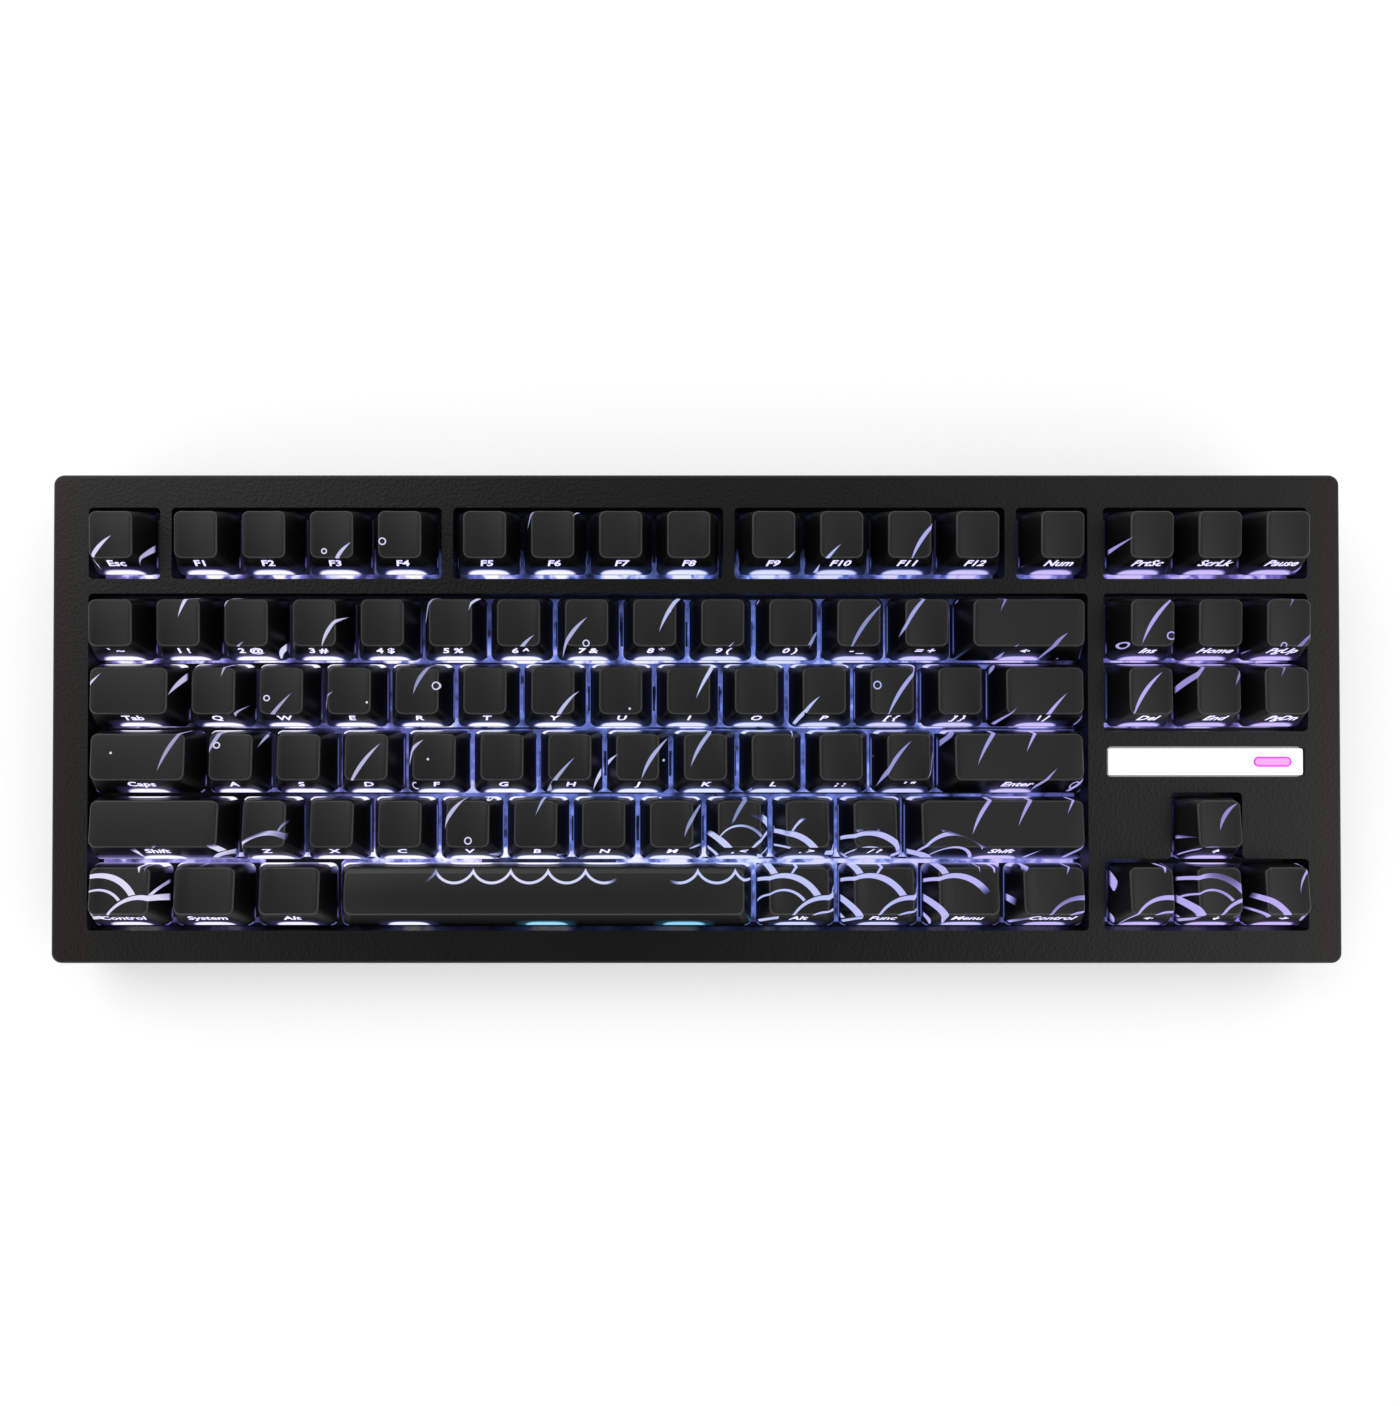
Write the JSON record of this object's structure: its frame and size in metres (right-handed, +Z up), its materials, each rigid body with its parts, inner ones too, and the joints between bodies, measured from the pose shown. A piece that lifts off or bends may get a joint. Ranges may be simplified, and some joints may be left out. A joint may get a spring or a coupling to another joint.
{
  "type": "mechanical keyboard",
  "caption": "Wedge-shaped mechanical keyboard with a navigation block, travelling keys on switches, a light bar, a USB port and folding rear feet.",
  "frame": {"origin": "middle of the outline seen from above, at the level of the desk", "axes": "+X to the right as typed on, +Y to the rear, +Z up; the deck slopes up to the rear by 6.0 degrees"},
  "size_m": [0.3704, 0.143, 0.0417],
  "materials": {
    "case_plastic": "fine grain moulded ABS",
    "keycap_plastic": "double-shot keycap, matte",
    "plate_steel": "powder-coated steel sheet",
    "board": "lacquered glass-fibre board",
    "foam": "closed-cell foam",
    "rubber": "soft rubber",
    "housing_plastic": "milky nylon and polycarbonate",
    "contact_metal": "plated contact strip",
    "steel": "zinc-plated steel",
    "led": "moulded lamp",
    "chip": "moulded chip package",
    "diffuser": "milky diffuser",
    "pill": "tinted window"
  },
  "bodies": {
    "case": {"case_top": "case_plastic", "case_bottom": "case_plastic", "switch_plate": "plate_steel", "circuit_board": "board", "plate_foam": "foam", "case_foam": "foam", "gasket_pads": "foam", "switch_lower_housings": "housing_plastic", "switch_upper_housings": "housing_plastic", "switch_contacts": "contact_metal", "switch_springs": "steel", "stabilizer_housings": "housing_plastic", "key_leds": "led", "bar_leds": "led", "board_chips": "chip", "usb_socket": "steel", "light_bar": "diffuser", "indicator_window": "pill", "case_screws": "steel", "rubber_feet": "rubber"},
    "key_left_ctrl_body": {"key_left_ctrl": "keycap_plastic"},
    "key_left_sys_body": {"key_left_sys": "keycap_plastic"},
    "key_left_alt_body": {"key_left_alt": "keycap_plastic"},
    "key_space_body": {"key_space": "keycap_plastic"},
    "key_right_alt_body": {"key_right_alt": "keycap_plastic"},
    "key_fn_body": {"key_fn": "keycap_plastic"},
    "key_menu_body": {"key_menu": "keycap_plastic"},
    "key_right_ctrl_body": {"key_right_ctrl": "keycap_plastic"},
    "key_left_shift_body": {"key_left_shift": "keycap_plastic"},
    "keys_lower_row_body": {"keys_lower_row": "keycap_plastic"},
    "key_right_shift_body": {"key_right_shift": "keycap_plastic"},
    "key_caps_body": {"key_caps": "keycap_plastic"},
    "keys_home_row_body": {"keys_home_row": "keycap_plastic"},
    "key_enter_body": {"key_enter": "keycap_plastic"},
    "key_tab_body": {"key_tab": "keycap_plastic"},
    "keys_upper_row_body": {"keys_upper_row": "keycap_plastic"},
    "key_backslash_body": {"key_backslash": "keycap_plastic"},
    "keys_number_row_body": {"keys_number_row": "keycap_plastic"},
    "key_backspace_body": {"key_backspace": "keycap_plastic"},
    "key_esc_body": {"key_esc": "keycap_plastic"},
    "keys_f1_f4_body": {"keys_f1_f4": "keycap_plastic"},
    "keys_f5_f8_body": {"keys_f5_f8": "keycap_plastic"},
    "keys_f9_f12_body": {"keys_f9_f12": "keycap_plastic"},
    "key_num_body": {"key_num": "keycap_plastic"},
    "key_arrow_left_body": {"key_arrow_left": "keycap_plastic"},
    "key_arrow_down_body": {"key_arrow_down": "keycap_plastic"},
    "key_arrow_right_body": {"key_arrow_right": "keycap_plastic"},
    "key_arrow_up_body": {"key_arrow_up": "keycap_plastic"},
    "keys_delete_end_page_down_body": {"keys_delete_end_page_down": "keycap_plastic"},
    "keys_insert_home_page_up_body": {"keys_insert_home_page_up": "keycap_plastic"},
    "key_print_screen_body": {"key_print_screen": "keycap_plastic"},
    "key_scroll_lock_body": {"key_scroll_lock": "keycap_plastic"},
    "key_pause_body": {"key_pause": "keycap_plastic"},
    "stabilizer_wire_space_body": {"stabilizer_wire_space": "steel"},
    "stabilizer_wire_left_shift_body": {"stabilizer_wire_left_shift": "steel"},
    "stabilizer_wire_right_shift_body": {"stabilizer_wire_right_shift": "steel"},
    "stabilizer_wire_enter_body": {"stabilizer_wire_enter": "steel"},
    "stabilizer_wire_backspace_body": {"stabilizer_wire_backspace": "steel"},
    "flip_foot_left_body": {"flip_foot_left": "case_plastic"},
    "flip_foot_right_body": {"flip_foot_right": "case_plastic"}
  },
  "joints": [
    {"name": "key_left_ctrl_press", "type": "slide", "parent": "case", "child": "key_left_ctrl_body", "axis": [0, 0.1045, -0.9945], "range_m": [0, 0.004], "stiffness_N_per_m": 62, "springref_m": -0.0056, "deforming": ["switch_springs"]},
    {"name": "key_left_sys_press", "type": "slide", "parent": "case", "child": "key_left_sys_body", "axis": [0, 0.1045, -0.9945], "range_m": [0, 0.004], "stiffness_N_per_m": 62, "springref_m": -0.0056},
    {"name": "key_left_alt_press", "type": "slide", "parent": "case", "child": "key_left_alt_body", "axis": [0, 0.1045, -0.9945], "range_m": [0, 0.004], "stiffness_N_per_m": 62, "springref_m": -0.0056},
    {"name": "key_space_press", "type": "slide", "parent": "case", "child": "key_space_body", "axis": [0, 0.1045, -0.9945], "range_m": [0, 0.004], "stiffness_N_per_m": 62, "springref_m": -0.0056},
    {"name": "key_right_alt_press", "type": "slide", "parent": "case", "child": "key_right_alt_body", "axis": [0, 0.1045, -0.9945], "range_m": [0, 0.004], "stiffness_N_per_m": 62, "springref_m": -0.0056},
    {"name": "key_fn_press", "type": "slide", "parent": "case", "child": "key_fn_body", "axis": [0, 0.1045, -0.9945], "range_m": [0, 0.004], "stiffness_N_per_m": 62, "springref_m": -0.0056},
    {"name": "key_menu_press", "type": "slide", "parent": "case", "child": "key_menu_body", "axis": [0, 0.1045, -0.9945], "range_m": [0, 0.004], "stiffness_N_per_m": 62, "springref_m": -0.0056},
    {"name": "key_right_ctrl_press", "type": "slide", "parent": "case", "child": "key_right_ctrl_body", "axis": [0, 0.1045, -0.9945], "range_m": [0, 0.004], "stiffness_N_per_m": 62, "springref_m": -0.0056},
    {"name": "key_left_shift_press", "type": "slide", "parent": "case", "child": "key_left_shift_body", "axis": [0, 0.1045, -0.9945], "range_m": [0, 0.004], "stiffness_N_per_m": 62, "springref_m": -0.0056},
    {"name": "keys_lower_row_press", "type": "slide", "parent": "case", "child": "keys_lower_row_body", "axis": [0, 0.1045, -0.9945], "range_m": [0, 0.004], "stiffness_N_per_m": 620, "springref_m": -0.0056},
    {"name": "key_right_shift_press", "type": "slide", "parent": "case", "child": "key_right_shift_body", "axis": [0, 0.1045, -0.9945], "range_m": [0, 0.004], "stiffness_N_per_m": 62, "springref_m": -0.0056},
    {"name": "key_caps_press", "type": "slide", "parent": "case", "child": "key_caps_body", "axis": [0, 0.1045, -0.9945], "range_m": [0, 0.004], "stiffness_N_per_m": 62, "springref_m": -0.0056},
    {"name": "keys_home_row_press", "type": "slide", "parent": "case", "child": "keys_home_row_body", "axis": [0, 0.1045, -0.9945], "range_m": [0, 0.004], "stiffness_N_per_m": 682, "springref_m": -0.0056},
    {"name": "key_enter_press", "type": "slide", "parent": "case", "child": "key_enter_body", "axis": [0, 0.1045, -0.9945], "range_m": [0, 0.004], "stiffness_N_per_m": 62, "springref_m": -0.0056},
    {"name": "key_tab_press", "type": "slide", "parent": "case", "child": "key_tab_body", "axis": [0, 0.1045, -0.9945], "range_m": [0, 0.004], "stiffness_N_per_m": 62, "springref_m": -0.0056},
    {"name": "keys_upper_row_press", "type": "slide", "parent": "case", "child": "keys_upper_row_body", "axis": [0, 0.1045, -0.9945], "range_m": [0, 0.004], "stiffness_N_per_m": 744, "springref_m": -0.0056},
    {"name": "key_backslash_press", "type": "slide", "parent": "case", "child": "key_backslash_body", "axis": [0, 0.1045, -0.9945], "range_m": [0, 0.004], "stiffness_N_per_m": 62, "springref_m": -0.0056},
    {"name": "keys_number_row_press", "type": "slide", "parent": "case", "child": "keys_number_row_body", "axis": [0, 0.1045, -0.9945], "range_m": [0, 0.004], "stiffness_N_per_m": 806, "springref_m": -0.0056},
    {"name": "key_backspace_press", "type": "slide", "parent": "case", "child": "key_backspace_body", "axis": [0, 0.1045, -0.9945], "range_m": [0, 0.004], "stiffness_N_per_m": 62, "springref_m": -0.0056},
    {"name": "key_esc_press", "type": "slide", "parent": "case", "child": "key_esc_body", "axis": [0, 0.1045, -0.9945], "range_m": [0, 0.004], "stiffness_N_per_m": 62, "springref_m": -0.0056},
    {"name": "keys_f1_f4_press", "type": "slide", "parent": "case", "child": "keys_f1_f4_body", "axis": [0, 0.1045, -0.9945], "range_m": [0, 0.004], "stiffness_N_per_m": 248, "springref_m": -0.0056},
    {"name": "keys_f5_f8_press", "type": "slide", "parent": "case", "child": "keys_f5_f8_body", "axis": [0, 0.1045, -0.9945], "range_m": [0, 0.004], "stiffness_N_per_m": 248, "springref_m": -0.0056},
    {"name": "keys_f9_f12_press", "type": "slide", "parent": "case", "child": "keys_f9_f12_body", "axis": [0, 0.1045, -0.9945], "range_m": [0, 0.004], "stiffness_N_per_m": 248, "springref_m": -0.0056},
    {"name": "key_num_press", "type": "slide", "parent": "case", "child": "key_num_body", "axis": [0, 0.1045, -0.9945], "range_m": [0, 0.004], "stiffness_N_per_m": 62, "springref_m": -0.0056},
    {"name": "key_arrow_left_press", "type": "slide", "parent": "case", "child": "key_arrow_left_body", "axis": [0, 0.1045, -0.9945], "range_m": [0, 0.004], "stiffness_N_per_m": 62, "springref_m": -0.0056},
    {"name": "key_arrow_down_press", "type": "slide", "parent": "case", "child": "key_arrow_down_body", "axis": [0, 0.1045, -0.9945], "range_m": [0, 0.004], "stiffness_N_per_m": 62, "springref_m": -0.0056},
    {"name": "key_arrow_right_press", "type": "slide", "parent": "case", "child": "key_arrow_right_body", "axis": [0, 0.1045, -0.9945], "range_m": [0, 0.004], "stiffness_N_per_m": 62, "springref_m": -0.0056},
    {"name": "key_arrow_up_press", "type": "slide", "parent": "case", "child": "key_arrow_up_body", "axis": [0, 0.1045, -0.9945], "range_m": [0, 0.004], "stiffness_N_per_m": 62, "springref_m": -0.0056},
    {"name": "keys_delete_end_page_down_press", "type": "slide", "parent": "case", "child": "keys_delete_end_page_down_body", "axis": [0, 0.1045, -0.9945], "range_m": [0, 0.004], "stiffness_N_per_m": 186, "springref_m": -0.0056},
    {"name": "keys_insert_home_page_up_press", "type": "slide", "parent": "case", "child": "keys_insert_home_page_up_body", "axis": [0, 0.1045, -0.9945], "range_m": [0, 0.004], "stiffness_N_per_m": 186, "springref_m": -0.0056},
    {"name": "key_print_screen_press", "type": "slide", "parent": "case", "child": "key_print_screen_body", "axis": [0, 0.1045, -0.9945], "range_m": [0, 0.004], "stiffness_N_per_m": 62, "springref_m": -0.0056},
    {"name": "key_scroll_lock_press", "type": "slide", "parent": "case", "child": "key_scroll_lock_body", "axis": [0, 0.1045, -0.9945], "range_m": [0, 0.004], "stiffness_N_per_m": 62, "springref_m": -0.0056},
    {"name": "key_pause_press", "type": "slide", "parent": "case", "child": "key_pause_body", "axis": [0, 0.1045, -0.9945], "range_m": [0, 0.004], "stiffness_N_per_m": 62, "springref_m": -0.0056},
    {"name": "stabilizer_wire_space_turn", "type": "hinge", "parent": "case", "child": "stabilizer_wire_space_body", "pos_m": [-0.04308, -0.04231, 0.01292], "axis": [1, 0, 0], "range_deg": [0, 23.38]},
    {"name": "stabilizer_wire_left_shift_turn", "type": "hinge", "parent": "case", "child": "stabilizer_wire_left_shift_body", "pos_m": [-0.15262, -0.02336, 0.01491], "axis": [1, 0, 0], "range_deg": [0, 23.38]},
    {"name": "stabilizer_wire_right_shift_turn", "type": "hinge", "parent": "case", "child": "stabilizer_wire_right_shift_body", "pos_m": [0.08551, -0.02336, 0.01491], "axis": [1, 0, 0], "range_deg": [0, 23.38]},
    {"name": "stabilizer_wire_enter_turn", "type": "hinge", "parent": "case", "child": "stabilizer_wire_enter_body", "pos_m": [0.09027, -0.00441, 0.01691], "axis": [1, 0, 0], "range_deg": [0, 23.38]},
    {"name": "stabilizer_wire_backspace_turn", "type": "hinge", "parent": "case", "child": "stabilizer_wire_backspace_body", "pos_m": [0.09265, 0.03348, 0.02089], "axis": [1, 0, 0], "range_deg": [0, 23.38]},
    {"name": "flip_foot_left_fold", "type": "hinge", "parent": "case", "child": "flip_foot_left_body", "pos_m": [-0.15, 0.05464, 0.0044], "axis": [1, 0, 0], "range_deg": [0, 95]},
    {"name": "flip_foot_right_fold", "type": "hinge", "parent": "case", "child": "flip_foot_right_body", "pos_m": [0.15, 0.05464, 0.0044], "axis": [1, 0, 0], "range_deg": [0, 95]}
  ],
  "couplings": [
    {"joint": "stabilizer_wire_space_turn", "follows": "key_space_press", "rad_per_m": 101.8},
    {"joint": "stabilizer_wire_left_shift_turn", "follows": "key_left_shift_press", "rad_per_m": 101.8},
    {"joint": "stabilizer_wire_right_shift_turn", "follows": "key_right_shift_press", "rad_per_m": 101.8},
    {"joint": "stabilizer_wire_enter_turn", "follows": "key_enter_press", "rad_per_m": 101.8},
    {"joint": "stabilizer_wire_backspace_turn", "follows": "key_backspace_press", "rad_per_m": 101.8}
  ]
}
